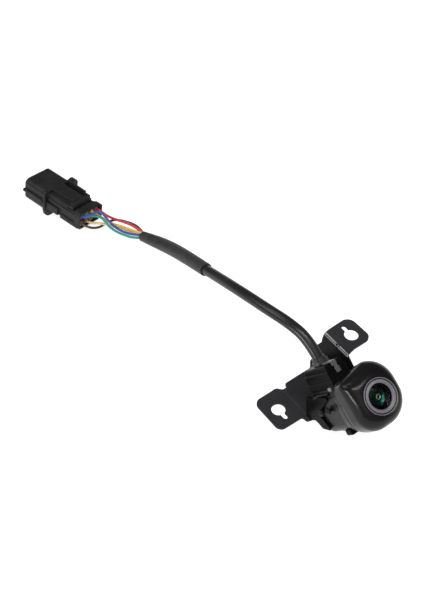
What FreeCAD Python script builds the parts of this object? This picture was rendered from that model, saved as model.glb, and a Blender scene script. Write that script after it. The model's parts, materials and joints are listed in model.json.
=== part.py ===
"""Backup camera: lens head in a folded steel bracket, with a short harness and a plug.

Millimetres, +Z up. The origin is the centre of the left keyhole on the underside of its
ear. The ears and the base of the bracket are level. The lens looks towards -Y and up, and
the harness runs towards +Y, lies down on the floor and ends in an eight-way plug.
"""

import math
import os

import FreeCAD
import Part

# ---------------------------------------------------------------- driving dimensions
SHEET = 1.2                 # bracket steel
PLATE_REAR = 9.6            # rear edge of the base plate
EAR_REACH = 7.1             # left ear, outward from its keyhole
EAR_HALF = 10.0             # left ear, half its length along Y
EAR_CORNER = 3.6            # corner radius of both ears
RIGHT_EAR_X = 44.0          # right keyhole centre
RIGHT_EAR_Y = 0.9
RIGHT_EAR_FRONT = -6.4
RIGHT_EAR_REAR = 10.2
RIGHT_EAR_Z = 24.0          # underside of the right ear
RIGHT_EAR_END = 51.0
KEYHOLE_R = 3.5
KEYHOLE_SLOT = 2.4          # width of the narrow end
KEYHOLE_REACH = 6.6         # from the round hole's centre to the end of the slot
CHEEK_X = 8.4               # outer face of the left cheek
WALL_X = 35.6               # outer face of the right wall

LENS_POINT = (22.0, -40.6, 41.1)    # centre of the lens front
TILT = 34.0                 # lens axis, degrees back from straight up towards -Y

COVER_LEFT = -13.2          # outline of the front cover round the lens axis
COVER_RIGHT = 13.4
COVER_TOP = 15.8            # its top edge falls by COVER_FALL towards the right
COVER_FALL = 2.6
COVER_BOTTOM = -14.0
COVER_BACK = -12.5          # parting plane behind the lens front
COVER_WALL = 1.5
FRONT_ROUND = 7.0           # rounding between the front face and the sides
CASE_BACK = -38.0
CASE_HALF = 12.3
CASE_SHOULDER = 9.0         # height of the step in the case's sides
CASE_TOP = 14.0
CASE_BOTTOM = -10.0
CASE_WALL = 1.5
TURRET_LEFT = -10.5         # cable turret on the case's top
TURRET_RIGHT = 0.2
TURRET_FRONT = -14.0
TURRET_STEP = 19.9
TURRET_TOP = 22.4

RING_OUTER = 8.3            # radii of the lens front
RING_INNER = 6.0
GLASS_R = 5.95
BARREL_R = 5.4
BOARD_HALF = 9.0            # both boards, half width, and their ends up and down the head
BOARD_LOW = -8.0
BOARD_HIGH = 10.0
BOARD_T = 1.2
SPACER_SPOTS = [(-7.4, -6.4), (7.4, -6.4), (7.4, 8.4), (-7.4, 8.4)]
CHEEK_SCREWS = [(CASE_HALF + 1, -33.0), (CASE_HALF + 1, -25.5)]     # across and along the head
SCREW_SEAT = 13.62          # underside of the screw heads, from the middle of the head

GLAND_V = -3.6              # gland centre across the head and along its axis
GLAND_O = -28.0
GLAND_R = 3.9
GLAND_TOP = 25.8

CABLE_D = 5.0
SLEEVE_D = 6.4              # over the cable
SLEEVE_NECK_D = 4.8         # over the wires
WIRE_D = 1.2
WIRE_RING = 1.55            # wires where they leave the sleeve
WIRE_GAP = 0.1              # from the sleeve's end to the start of the wires

PLUG_POINT = (-17.5, 196.9, 9.2)    # centre of the plug's mating face
PLUG_YAW = 13.3             # plug's length, degrees from -Y towards +X
PLUG_ROLL = 11.35           # roll about its own length
SHROUD_L = 14.8
SHROUD_W = 19.1
SHROUD_H = 13.6
SHROUD_WALL = 1.3
SOCKET_DEPTH = 12.0
BLADE_TIP = 6.8             # blades end this far inside the mouth
FLANGE_T = 1.8
BODY_END = 41.5
BODY_W = 15.4
BODY_H = 10.4
PITCH_W = 3.8               # wire cavities, across and between rows
ROW_H = 2.5
SEAL_POCKET = 6.5           # depth of each wire's round pocket in the rear face
TERMINAL_HOLE = 1.1         # square hole for each terminal
LOCK_FRONT = 32.2           # secondary lock, from the mating face
LOCK_BACK = 35.4
LOCK_TRAVEL = 1.6

# ---------------------------------------------------------------- small helpers
X_AXIS = FreeCAD.Vector(1, 0, 0)
Y_AXIS = FreeCAD.Vector(0, 1, 0)
Z_AXIS = FreeCAD.Vector(0, 0, 1)


def vec(point):
    return FreeCAD.Vector(*point)


def box(low, high):
    size = [h - l for l, h in zip(low, high)]
    return Part.makeBox(*size, vec(low))


def tube(radius, start, end):
    """A plain rod between two points."""
    run = vec(end) - vec(start)
    return Part.makeCylinder(radius, run.Length, vec(start), run)


def ring(outer, inner, low, high):
    """A washer about the local Z axis."""
    rod = tube(outer, (0, 0, low), (0, 0, high))
    return rod.cut(tube(inner, (0, 0, low - 1), (0, 0, high + 1)))


def fuse(shapes):
    body = shapes[0]
    if len(shapes) > 1:
        body = body.fuse(shapes[1:])
    return body.removeSplitter()


def rounded_outline(points):
    """Closed wire through (x, y, corner radius) points, corners as tangent arcs."""
    edges = []
    ends = []
    count = len(points)
    for i, (x, y, radius) in enumerate(points):
        here = FreeCAD.Vector(x, y, 0)
        before = (vec((*points[i - 1][:2], 0)) - here).normalize()
        after = (vec((*points[(i + 1) % count][:2], 0)) - here).normalize()
        if radius == 0:
            ends.append((here, here, None))
            continue
        half = before.getAngle(after) / 2
        reach = radius / math.tan(half)
        middle = here + (before + after).normalize() * (radius / math.sin(half) - radius)
        ends.append((here + before * reach, here + after * reach, middle))
    for i, (start, end, middle) in enumerate(ends):
        if middle is not None:
            edges.append(Part.Arc(start, middle, end).toShape())
        following = ends[(i + 1) % count][0]
        if end.distanceToPoint(following) > 1e-6:
            edges.append(Part.LineSegment(end, following).toShape())
    return Part.Wire(edges)


def prism(points, low, high):
    """Rounded outline in XY, raised from low to high."""
    face = Part.Face(rounded_outline(points))
    solid = face.extrude(FreeCAD.Vector(0, 0, high - low))
    return solid.translated(FreeCAD.Vector(0, 0, low))


def rectangle(left, right, bottom, top, radius):
    return [(left, bottom, radius), (right, bottom, radius),
            (right, top, radius), (left, top, radius)]


def side_plate(points, x_outer, thickness):
    """Rounded outline in YZ, thickened along +X from x_outer."""
    plate = prism(points, 0, thickness)
    turn = FreeCAD.Rotation(FreeCAD.Vector(0, 1, 0), FreeCAD.Vector(0, 0, 1),
                            FreeCAD.Vector(1, 0, 0), "ZXY")
    plate.Placement = FreeCAD.Placement(FreeCAD.Vector(x_outer, 0, 0), turn)
    return plate


HEAD = FreeCAD.Placement(vec(LENS_POINT), FreeCAD.Rotation(X_AXIS, TILT))
PLUG = FreeCAD.Placement(
    vec(PLUG_POINT),
    FreeCAD.Rotation(Z_AXIS, PLUG_YAW) * FreeCAD.Rotation(Y_AXIS, PLUG_ROLL))


def placed(shape, placement):
    moved = shape.copy()
    moved.Placement = placement * shape.Placement
    return moved


def in_head(shape):
    """Head frame: x across, y up the cover, z out of the lens."""
    return placed(shape, HEAD)


def in_plug(shape):
    """Plug frame: x across, -y from the mating face to the wires, z up."""
    return placed(shape, PLUG)


def plug_point(x, y, z):
    return PLUG.multVec(FreeCAD.Vector(x, y, z))


# ---------------------------------------------------------------- lens head
def cover_outline(inset):
    """The cover seen along the lens axis."""
    left = COVER_LEFT + inset
    right = COVER_RIGHT - inset
    top = COVER_TOP - inset
    bottom = COVER_BOTTOM + inset
    return [(left, bottom, 10.0 - inset), (right, bottom, 12.8 - inset),
            (right, top - COVER_FALL, 6.0 - inset), (left, top, 4.5 - inset)]


def front_cover():
    outer = prism(cover_outline(0), COVER_BACK, 0)
    front_edges = [e for e in outer.Edges if e.BoundBox.ZMin > -1e-6]
    outer = outer.makeFillet(FRONT_ROUND, front_edges)
    inner = prism(cover_outline(COVER_WALL), COVER_BACK - 1, -4.2)
    bore = tube(RING_OUTER + 0.1, (0, 0, -6), (0, 0, 1))
    lip = ring(RING_OUTER + 0.9, RING_OUTER + 0.1, -0.6, 0.25)
    return fuse([outer.cut(inner).cut(bore), lip])


def lens_trim_ring():
    face = ring(RING_OUTER, RING_INNER, -1.4, 0.1)
    sleeve = ring(RING_OUTER - 1.2, RING_INNER, -4.0, -1.4)
    return fuse([face, sleeve])


def front_lens():
    """Domed outer glass, let into the trim ring."""
    rim = tube(GLASS_R, (0, 0, -3.0), (0, 0, -0.9))
    crown_height = 0.9
    crown_r = (GLASS_R ** 2 + crown_height ** 2) / (2 * crown_height)
    crown = Part.makeSphere(crown_r, FreeCAD.Vector(0, 0, -crown_r))
    dome = crown.common(tube(GLASS_R, (0, 0, -0.9), (0, 0, 0)))
    hollow = Part.makeSphere(4.8, FreeCAD.Vector(0, 0, -5.9))
    return fuse([rim, dome]).cut(hollow)


def lens_o_ring():
    seal = Part.makeTorus(BARREL_R + 0.65, 0.55, FreeCAD.Vector(0, 0, -4.9), Z_AXIS)
    return seal


def lens_barrel():
    tubes = [ring(BARREL_R, 4.6, -12.0, -3.3), ring(BARREL_R - 0.5, 3.4, -17.0, -12.0)]
    threads = [ring(BARREL_R - 0.2, BARREL_R - 0.8, z, z + 0.5) for z in (-16.6, -15.6, -14.6, -13.6)]
    return fuse(tubes + threads)


def inner_lenses():
    """Three glass elements stacked in the barrel."""
    stack = []
    for low, high, radius in ((-9.0, -7.0, 4.4), (-11.9, -9.8, 4.4), (-15.6, -13.2, 3.2)):
        disc = tube(radius, (0, 0, low), (0, 0, high))
        bulge = Part.makeSphere(2.2 * radius, FreeCAD.Vector(0, 0, high - 2.2 * radius))
        stack.append(disc.common(bulge))
    return Part.makeCompound(stack)


def ir_filter():
    return box((-3.6, -3.6, -18.6), (3.6, 3.6, -18.2))


def lens_holder():
    base = prism(rectangle(-8, 8, -8, 8, 1.5), -19.6, -17.6)
    throat = ring(7.6, BARREL_R + 0.1, -17.6, -12.6)
    window = box((-3.2, -3.2, -20), (3.2, 3.2, -17))
    pocket = box((-4.6, -4.6, -20), (4.6, 4.6, -18.7))
    return fuse([base, throat]).cut(window).cut(pocket).cut(ir_filter())


def sensor_board():
    outline = rectangle(-BOARD_HALF, BOARD_HALF, BOARD_LOW, BOARD_HIGH, 1.0)
    return prism(outline, -21.0, -21.0 + BOARD_T)


def image_sensor():
    return box((-4.0, -4.0, -19.75), (4.0, 4.0, -18.75))


def board_spacers():
    posts = [tube(1.3, (x, y, -26.0), (x, y, -21.05)) for x, y in SPACER_SPOTS]
    return Part.makeCompound(posts)


def processor_board():
    outline = rectangle(-BOARD_HALF, BOARD_HALF, BOARD_LOW, BOARD_HIGH, 1.0)
    return prism(outline, -26.05 - BOARD_T, -26.05)


def shield_can():
    can = box((-5.5, -5.5, -29.2), (5.5, 7.5, -27.3))
    return can.cut(box((-5.2, -5.2, -28.9), (5.2, 7.2, -27.2)))


def board_screws():
    screws = []
    for x, y in SPACER_SPOTS:
        head = tube(1.5, (x, y, -28.3), (x, y, -27.3))
        screws.append(head)
    return Part.makeCompound(screws)


def board_socket():
    shell = box((-8.0, 8.0, -33.0), (-1.0, 10.6, -28.4))
    return shell.cut(box((-7.4, 8.5, -33.5), (-1.6, 10.1, -29.6)))


def case_gasket():
    outer = prism(cover_outline(2.0), COVER_BACK - 0.75, COVER_BACK + 0.75)
    inner = prism(cover_outline(3.2), COVER_BACK - 1, COVER_BACK + 1)
    return outer.cut(inner)


def case_outline(inset):
    """Back case seen along the lens axis: full width below the shoulder, narrower above."""
    low = CASE_HALF - inset
    high = CASE_HALF - 1.6 - inset
    return [(-low, CASE_BOTTOM + inset, 5.0 - inset), (low, CASE_BOTTOM + inset, 5.0 - inset),
            (low, CASE_SHOULDER - inset, 0.4), (high, CASE_SHOULDER + 0.6 - inset, 0.4),
            (high, CASE_TOP - inset, 2.4 - inset), (-high, CASE_TOP - inset, 2.4 - inset),
            (-high, CASE_SHOULDER + 0.6 - inset, 0.4), (-low, CASE_SHOULDER - inset, 0.4)]


def rear_case():
    collar = prism(cover_outline(0.25), -17.0, COVER_BACK - 0.3)
    trunk = prism(case_outline(0), CASE_BACK, -16.0)
    hollow = prism(case_outline(CASE_WALL), CASE_BACK + CASE_WALL, -10)
    mouth = prism(cover_outline(2.0), -15.6, -12)
    turret_low = prism(rectangle(TURRET_LEFT, TURRET_RIGHT, 10, TURRET_STEP, 0.8),
                       CASE_BACK, TURRET_FRONT)
    turret_high = prism(rectangle(TURRET_LEFT + 0.7, TURRET_RIGHT - 0.7, 18, TURRET_TOP, 1.0),
                        CASE_BACK + 0.7, TURRET_FRONT - 0.7)
    well = box((TURRET_LEFT + 2, 9, CASE_BACK + 2), (TURRET_RIGHT - 2, TURRET_TOP - 2, -16))
    exit_hole = tube(3.1, (GLAND_V, 18, GLAND_O), (GLAND_V, 26, GLAND_O))
    ribs = [box((-CASE_HALF - 0.1, y, -33.0), (-10, y + 0.8, -20.5)) for y in (7.6, 9.6)]
    body = fuse([collar, trunk, turret_low, turret_high] + ribs)
    body = body.cut(hollow).cut(mouth).cut(well).cut(exit_hole)
    for x, z in CHEEK_SCREWS:
        body = body.cut(tube(0.9, (-x, 2.5, z), (-x + 4, 2.5, z)))
        body = body.cut(tube(0.9, (x - 4, 2.5, z), (x, 2.5, z)))
    return body


def vent_plug():
    """Breather on the back of the case."""
    stem = tube(1.6, (5, 2, CASE_BACK - 0.02), (5, 2, CASE_BACK - 0.5))
    cap = tube(2.8, (5, 2, CASE_BACK - 0.5), (5, 2, CASE_BACK - 1.5))
    return fuse([stem, cap])


def cable_gland():
    """Rubber grommet: a collar above the turret and a plug inside its hole."""
    collar = tube(GLAND_R, (GLAND_V, TURRET_TOP + 0.02, GLAND_O), (GLAND_V, 24.4, GLAND_O))
    neck = tube(GLAND_R - 0.6, (GLAND_V, 24.4, GLAND_O), (GLAND_V, GLAND_TOP, GLAND_O))
    plug = tube(3.05, (GLAND_V, 19.5, GLAND_O), (GLAND_V, TURRET_TOP + 0.02, GLAND_O))
    return fuse([collar, neck, plug])


# ---------------------------------------------------------------- bracket
def keyhole(x, y, z, toward):
    """Round hole with a slot on one side; toward is +1 or -1 along Y."""
    low = z - 1
    high = z + SHEET + 1
    hole = tube(KEYHOLE_R, (x, y, low), (x, y, high))
    slot_r = KEYHOLE_SLOT / 2
    end = y + toward * (KEYHOLE_REACH - slot_r)
    slot = box((x - slot_r, min(y, end), low), (x + slot_r, max(y, end), high))
    return fuse([hole, slot, tube(slot_r, (x, end, low), (x, end, high))])


def base_plate():
    """Left ear and the plate under the head, cut from one flat blank."""
    return prism([(-EAR_REACH, -EAR_HALF, EAR_CORNER), (6.4, -EAR_HALF - 0.3, 1.0),
                  (6.9, -13.2, 0.6), (10.6, -14.6, 0.8), (11.0, -21.6, 1.6),
                  (19.5, -29.0, 2.0), (30.0, -29.0, 2.0), (34.4, -22.0, 2.0),
                  (WALL_X, -16.0, 0.5), (WALL_X, 13.2, 1.0), (31.0, 13.2, 1.5),
                  (28.0, PLATE_REAR, 1.5), (11.8, PLATE_REAR, 1.2), (11.2, 7.4, 0.8),
                  (9.0, 7.4, 0.8), (6.8, EAR_HALF + 0.2, 2.4),
                  (-EAR_REACH, EAR_HALF + 0.2, EAR_CORNER)], 0, SHEET)


def left_cheek():
    """Upright cheek beside the case, with a foot that cradles its lower corner."""
    return side_plate([(-10.9, 0, 0), (-10.2, 7.0, 2.0), (-9.2, 12.5, 2.0), (-8.6, 15.6, 1.2),
                       (-13.0, 17.4, 2.0), (-20.8, 28.0, 0.6), (-22.2, 27.5, 0.6),
                       (-20.0, 18.8, 3.0), (-19.6, 11.6, 1.5), (-26.6, 9.9, 0.5),
                       (-27.2, 8.6, 0.5), (-22.7, 4.6, 1.0), (-17.4, 5.2, 1.5),
                       (-14.4, 1.6, 1.0), (-14.2, 0, 0)], CHEEK_X, SHEET)


def right_wall():
    """Tall wall that carries the right ear."""
    return side_plate([(-16.0, 0, 0), (-22.7, 4.6, 1.0), (-27.2, 8.6, 0.5), (-26.6, 10.5, 1.0),
                       (-14.0, 17.5, 3.0), (-8.5, 21.6, 3.0),
                       (RIGHT_EAR_FRONT, RIGHT_EAR_Z + SHEET, 0),
                       (RIGHT_EAR_REAR, RIGHT_EAR_Z + SHEET, 0), (11.2, 20.8, 0.8),
                       (10.6, 17.6, 1.0),
                       (13.2, 11.5, 1.5), (13.2, 0, 0)], WALL_X - SHEET, SHEET)


def right_ear():
    start = WALL_X - SHEET
    return prism([(start, RIGHT_EAR_FRONT, 0), (RIGHT_EAR_END, RIGHT_EAR_FRONT, EAR_CORNER),
                  (RIGHT_EAR_END, RIGHT_EAR_REAR, EAR_CORNER), (start, RIGHT_EAR_REAR, 0)],
                 RIGHT_EAR_Z, RIGHT_EAR_Z + SHEET)


def bracket():
    body = fuse([base_plate(), left_cheek(), right_wall(), right_ear()])
    body = body.cut(keyhole(0, 0, 0, -1))
    body = body.cut(keyhole(RIGHT_EAR_X, RIGHT_EAR_Y, RIGHT_EAR_Z, 1))
    for side in (-1, 1):
        for x, z in CHEEK_SCREWS:
            hole = tube(1.15, (side * (x - 2), 2.5, z), (side * (x + 2), 2.5, z))
            body = body.cut(in_head(hole))
    return body


def bracket_screws():
    """Pan-head screws through the cheeks into the case, two on each side."""
    screws = []
    for side in (-1, 1):
        seat = side * SCREW_SEAT
        for x, z in CHEEK_SCREWS:
            shank = tube(0.85, (seat - side * 3.4, 2.5, z), (seat, 2.5, z))
            head = tube(1.9, (seat, 2.5, z), (seat + side * 1.0, 2.5, z))
            screws.append(fuse([shank, head]))
    return Part.makeCompound(screws)


def spring_clip():
    """Folded spring with two leaves, one against each step of the turret's front."""
    lower = box((-5.9, 17.0, TURRET_FRONT + 0.02), (-3.5, 19.6, TURRET_FRONT + 0.5))
    upper = box((-6.2, 20.5, TURRET_FRONT - 0.68), (-3.5, 22.4, TURRET_FRONT - 0.2))
    neck = box((-5.4, 19.0, TURRET_FRONT + 0.02), (-4.0, 20.6, TURRET_FRONT + 0.5))
    fold = box((-5.4, TURRET_STEP + 0.05, TURRET_FRONT - 0.68), (-4.0, 20.6, TURRET_FRONT + 0.1))
    return fuse([lower, upper, neck, fold])


# ---------------------------------------------------------------- harness
CABLE_ROUTE = [(18.4, -3.5, 32.35), (18.4, 4.5, 37.75), (16.2, 15.0, 40.2), (13.8, 28.0, 39.2),
               (12.7, 44.0, 35.7), (12.6, 61.0, 30.0), (13.1, 76.5, 23.7)]
SLEEVE_ROUTE = [(13.1, 76.5, 23.7), (13.6, 92.0, 17.4), (13.6, 106.0, 11.2)]
NECK_ROUTE = [(13.6, 106.0, 11.2), (12.8, 119.0, 5.4), (10.4, 131.8, 2.9)]


def bend(before, here, after):
    """Tangent arc at one point of a route: radius, start, middle and end."""
    back = vec(before) - vec(here)
    ahead = vec(after) - vec(here)
    shorter = min(back.Length, ahead.Length)
    back.normalize()
    ahead.normalize()
    turn = math.pi - back.getAngle(ahead)
    reach = 0.45 * shorter
    radius = reach / math.tan(turn / 2)
    inward = (back + ahead).normalize()
    middle = vec(here) + inward * (radius / math.cos(turn / 2) - radius)
    return radius, vec(here) + back * reach, middle, vec(here) + ahead * reach


def cord(name, points, diameter):
    """Round tube along straight runs joined by tangent arcs."""
    edges = []
    radii = []
    start = vec(points[0])
    for before, here, after in zip(points, points[1:], points[2:]):
        radius, arc_start, middle, arc_end = bend(before, here, after)
        edges.append(Part.LineSegment(start, arc_start).toShape())
        edges.append(Part.Arc(arc_start, middle, arc_end).toShape())
        radii.append(round(radius, 1))
        start = arc_end
    edges.append(Part.LineSegment(start, vec(points[-1])).toShape())
    path = Part.Wire(edges)
    heading = vec(points[1]) - vec(points[0])
    section = Part.Wire(Part.makeCircle(diameter / 2, vec(points[0]), heading))
    solid = path.makePipeShell([section], True, True)
    ideal = math.pi * diameter ** 2 / 4 * path.Length
    print(name, "length", round(path.Length, 1), "radii", radii,
          "volume ratio", round(solid.Volume / ideal, 4))
    return solid


def shrink_sleeve():
    wide = cord("sleeve, wide", SLEEVE_ROUTE, SLEEVE_D)
    neck = cord("sleeve, neck", NECK_ROUTE, SLEEVE_NECK_D)
    return fuse([wide, neck])


# angle round the sleeve's end, plug cavity (column, row)
WIRES = {
    "wire_blue": (180, -1.5, 1),
    "wire_green": (120, -0.5, 1),
    "wire_yellow": (60, 0.5, 1),
    "wire_red": (0, 1.5, 1),
    "wire_white": (300, -0.5, -1),
    "wire_brown": (240, -1.5, -1),
}


def wire_route(angle, column, row):
    """From the sleeve's end to the wire's own cavity, fanned out half way."""
    tip = vec(NECK_ROUTE[-1])
    along = (tip - vec(NECK_ROUTE[-2])).normalize()
    across = along.cross(Z_AXIS).normalize()
    upward = across.cross(along)
    spread = math.radians(angle)
    offset = across * math.cos(spread) + upward * math.sin(spread)
    start = tip + along * WIRE_GAP + offset * WIRE_RING
    level = FreeCAD.Vector(along.x, along.y, 0).normalize()
    leave = start + level * 5 + offset * 0.6
    cavity = (column * PITCH_W, row * ROW_H)
    seat = plug_point(cavity[0], -BODY_END + 0.6, cavity[1])
    enter = plug_point(cavity[0], -BODY_END - 5.4, cavity[1])
    middle = (leave + enter) * 0.5 + FreeCAD.Vector(0, 0, 0.9 * row)
    return [tuple(p) for p in (start, leave, middle, enter, seat)]


# ---------------------------------------------------------------- plug
def cavity_grid():
    return [(c * PITCH_W, r * ROW_H) for r in (1, -1) for c in (-1.5, -0.5, 0.5, 1.5)]


def slab(left, right, front, back, bottom, top, radius):
    """Rounded block in the plug frame; front and back are distances from the mating face."""
    block = prism(rectangle(left, right, bottom, top, radius), front, back)
    block.rotate(FreeCAD.Vector(0, 0, 0), X_AXIS, 90)
    return block


def flange_plate():
    """Stop flange with a lobe to the right and one underneath."""
    core = slab(-9.9, 9.9, SHROUD_L, SHROUD_L + FLANGE_T, -7.3, 7.0, 2.5)
    right = slab(6.0, 14.2, SHROUD_L, SHROUD_L + FLANGE_T, -1.8, 7.0, 3.6)
    under = slab(-9.9, -1.0, SHROUD_L, SHROUD_L + FLANGE_T, -10.2, -2.0, 3.6)
    return fuse([core, right, under])


def plug_housing():
    shroud = slab(-SHROUD_W / 2, SHROUD_W / 2, 0, SHROUD_L, -SHROUD_H / 2, SHROUD_H / 2, 3.0)
    rib = slab(-SHROUD_W / 2 - 1.3, -SHROUD_W / 2 + 1, -0.4, SHROUD_L, -0.9, 0.9, 0.5)
    body = slab(-BODY_W / 2, BODY_W / 2, SHROUD_L, BODY_END, -BODY_H / 2, BODY_H / 2, 1.5)
    rail = slab(-BODY_W / 2 - 1.2, BODY_W / 2 + 1.2, 18.0, 39.0, -3.4, -0.6, 0.8)
    side = slab(-BODY_W / 2 - 0.6, BODY_W / 2 + 0.6, 17.0, 26.0, -0.8, 2.6, 0.8)
    guard = slab(BODY_W / 2 - 1.0, BODY_W / 2 + 0.6, 17.0, 31.0, 2.0, 7.2, 0.6)
    deck = slab(-4.8, BODY_W / 2, 16.0, 31.0, 4.0, 6.8, 0.6)
    collar = slab(-8.4, 8.4, 38.0, BODY_END, -5.6, 5.4, 1.8)
    housing = fuse([shroud, flange_plate(), rib, body, rail, side, guard, deck, collar])
    socket = slab(-SHROUD_W / 2 + SHROUD_WALL, SHROUD_W / 2 - SHROUD_WALL, -1, SOCKET_DEPTH,
                  -SHROUD_H / 2 + SHROUD_WALL, SHROUD_H / 2 - SHROUD_WALL, 1.8)
    housing = housing.cut(socket)
    half = TERMINAL_HOLE / 2
    for x, z in cavity_grid():
        pocket = tube(1.45, (x, -BODY_END - 1, z), (x, -BODY_END + SEAL_POCKET, z))
        hole = box((x - half, -BODY_END + 1, z - half), (x + half, -SOCKET_DEPTH + 1, z + half))
        housing = housing.cut(pocket).cut(hole)
    lock_slot = slab(-9.0, 9.0, LOCK_FRONT - 0.3, LOCK_BACK + LOCK_TRAVEL + 0.3, 3.9, 9, 0.2)
    return housing.cut(lock_slot)


def terminal_lock():
    """Secondary lock: a comb that slides towards the wires to free the terminals."""
    bar = slab(-7.2, 7.2, LOCK_FRONT, LOCK_BACK, 4.2, 5.8, 0.5)
    lip = slab(-6.6, 6.6, LOCK_FRONT, LOCK_FRONT + 0.9, 5.2, 6.9, 0.3)
    return fuse([bar, lip])


def plug_terminals():
    """Terminals from the seals to the male blades that stand in the shroud."""
    blades = []
    for x, z in cavity_grid():
        rear = -BODY_END + SEAL_POCKET + 0.5
        blades.append(box((x - 0.5, rear, z - 0.32), (x + 0.5, -BLADE_TIP, z + 0.32)))
    return Part.makeCompound(blades)


def wire_seals():
    """Silicone seals round the wires, with a blind plug in the two spare cavities."""
    used = {(c, r) for _, c, r in WIRES.values()}
    seals = []
    for x, z in cavity_grid():
        spot = (x / PITCH_W, round(z / ROW_H))
        seal = tube(1.4, (x, -BODY_END + 0.6, z), (x, -BODY_END + 5.0, z))
        if spot in used:
            seal = seal.cut(tube(WIRE_D / 2 + 0.02, (x, -BODY_END - 1, z), (x, -20, z)))
        seals.append(seal)
    return Part.makeCompound(seals)


# ---------------------------------------------------------------- assembly
def head_nodes():
    makers = [front_cover, lens_trim_ring, front_lens, lens_o_ring, lens_barrel, inner_lenses,
              ir_filter, lens_holder, sensor_board, image_sensor, board_spacers,
              processor_board, shield_can, board_screws, board_socket, case_gasket,
              rear_case, vent_plug, cable_gland, bracket_screws, spring_clip]
    return {maker.__name__: in_head(maker()) for maker in makers}


def plug_nodes():
    makers = [plug_housing, terminal_lock, plug_terminals, wire_seals]
    return {maker.__name__: in_plug(maker()) for maker in makers}


def harness_nodes():
    nodes = {"cable": cord("cable", CABLE_ROUTE, CABLE_D), "shrink_sleeve": shrink_sleeve()}
    for name, place in WIRES.items():
        route = wire_route(*place)
        print(name, [tuple(round(v, 1) for v in p) for p in route])
        nodes[name] = cord(name, route, WIRE_D)
    return nodes


def main():
    os.makedirs("parts", exist_ok=True)
    nodes = {**head_nodes(), "bracket": bracket(), **harness_nodes(), **plug_nodes()}
    for name, shape in nodes.items():
        shape.exportStep(f"parts/{name}.step")
    print(len(nodes), "nodes")


main()
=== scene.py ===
"""Looks of the backup camera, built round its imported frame.

Shapes are drawn in millimetres in one of three frames and set down in metres: the row frame,
the head frame (x across, y up the cover, z out of the lens) and the plug frame (x across,
y back from the wires to the mating face, z up).
"""
import json
import math

import bmesh
import bpy
from mathutils import Matrix, Vector
from mathutils.geometry import delaunay_2d_cdt


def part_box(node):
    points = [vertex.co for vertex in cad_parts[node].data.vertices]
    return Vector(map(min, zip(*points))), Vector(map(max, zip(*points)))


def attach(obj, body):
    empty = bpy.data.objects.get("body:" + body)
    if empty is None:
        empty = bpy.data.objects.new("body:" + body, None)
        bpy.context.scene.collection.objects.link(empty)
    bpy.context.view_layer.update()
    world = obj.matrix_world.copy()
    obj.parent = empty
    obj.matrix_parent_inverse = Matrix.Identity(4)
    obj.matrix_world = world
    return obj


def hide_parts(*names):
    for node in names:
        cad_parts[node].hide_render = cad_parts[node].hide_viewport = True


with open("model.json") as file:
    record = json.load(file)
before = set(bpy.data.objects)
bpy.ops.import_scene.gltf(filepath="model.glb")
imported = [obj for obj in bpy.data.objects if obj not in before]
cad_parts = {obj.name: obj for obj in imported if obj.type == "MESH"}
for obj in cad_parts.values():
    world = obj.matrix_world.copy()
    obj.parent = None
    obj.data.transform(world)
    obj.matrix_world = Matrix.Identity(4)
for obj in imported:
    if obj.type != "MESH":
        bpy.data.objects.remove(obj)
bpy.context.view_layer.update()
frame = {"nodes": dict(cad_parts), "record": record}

# ---------------------------------------------------------------- frames
MM = 0.001
LENS_TILT = math.radians(34.0)
PLUG_YAW = math.radians(13.3)
PLUG_ROLL = math.radians(11.35)
FILTER_DEPTH = 18.4             # infrared filter, behind the lens front
MOUNTS = {m["name"]: Vector(m["pos_m"]) for m in frame["record"]["mounts"]}


def box_middle(node):
    low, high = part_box(node)
    return (low + high) / 2


ROW = Matrix.Scale(MM, 4)
HEAD_TURN = Matrix.Rotation(LENS_TILT, 4, "X")
LENS_POINT = box_middle("ir_filter") + HEAD_TURN @ Vector((0, 0, FILTER_DEPTH * MM))
HEAD = Matrix.Translation(LENS_POINT) @ HEAD_TURN @ ROW
PLUG_TURN = Matrix.Rotation(PLUG_YAW, 4, "Z") @ Matrix.Rotation(PLUG_ROLL, 4, "Y")
PLUG = Matrix.Translation(MOUNTS["plug_socket"]) @ PLUG_TURN @ ROW
LENGTHWISE = Matrix.Rotation(math.radians(90), 4, "X")   # raise an outline along -y
SIDEWAYS = Matrix(((0, 0, 1, 0), (1, 0, 0, 0), (0, 1, 0, 0), (0, 0, 0, 1)))   # YZ outline, along X

# ---------------------------------------------------------------- camera
CAMERA_PLACE = (-0.18528, -0.19475, 0.40450)
CAMERA_TURN = (39.70, -0.19, -36.47)   # degrees
FOCAL_LENGTH = 60               # mm, on a 36 mm wide sensor

camera_data = bpy.data.cameras.new("camera")
camera_data.lens = FOCAL_LENGTH
camera_data.sensor_width = 36
camera = bpy.data.objects.new("camera", camera_data)
camera.location = CAMERA_PLACE
camera.rotation_euler = [math.radians(a) for a in CAMERA_TURN]
bpy.context.scene.collection.objects.link(camera)
bpy.context.scene.camera = camera


# ---------------------------------------------------------------- materials
def set_ramp(node, stops):
    """Gives a two-stop colour ramp its (position, colour) pairs."""
    for element, (place, colour) in zip(node.color_ramp.elements, stops):
        element.position = place
        element.color = (*colour, 1)


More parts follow.
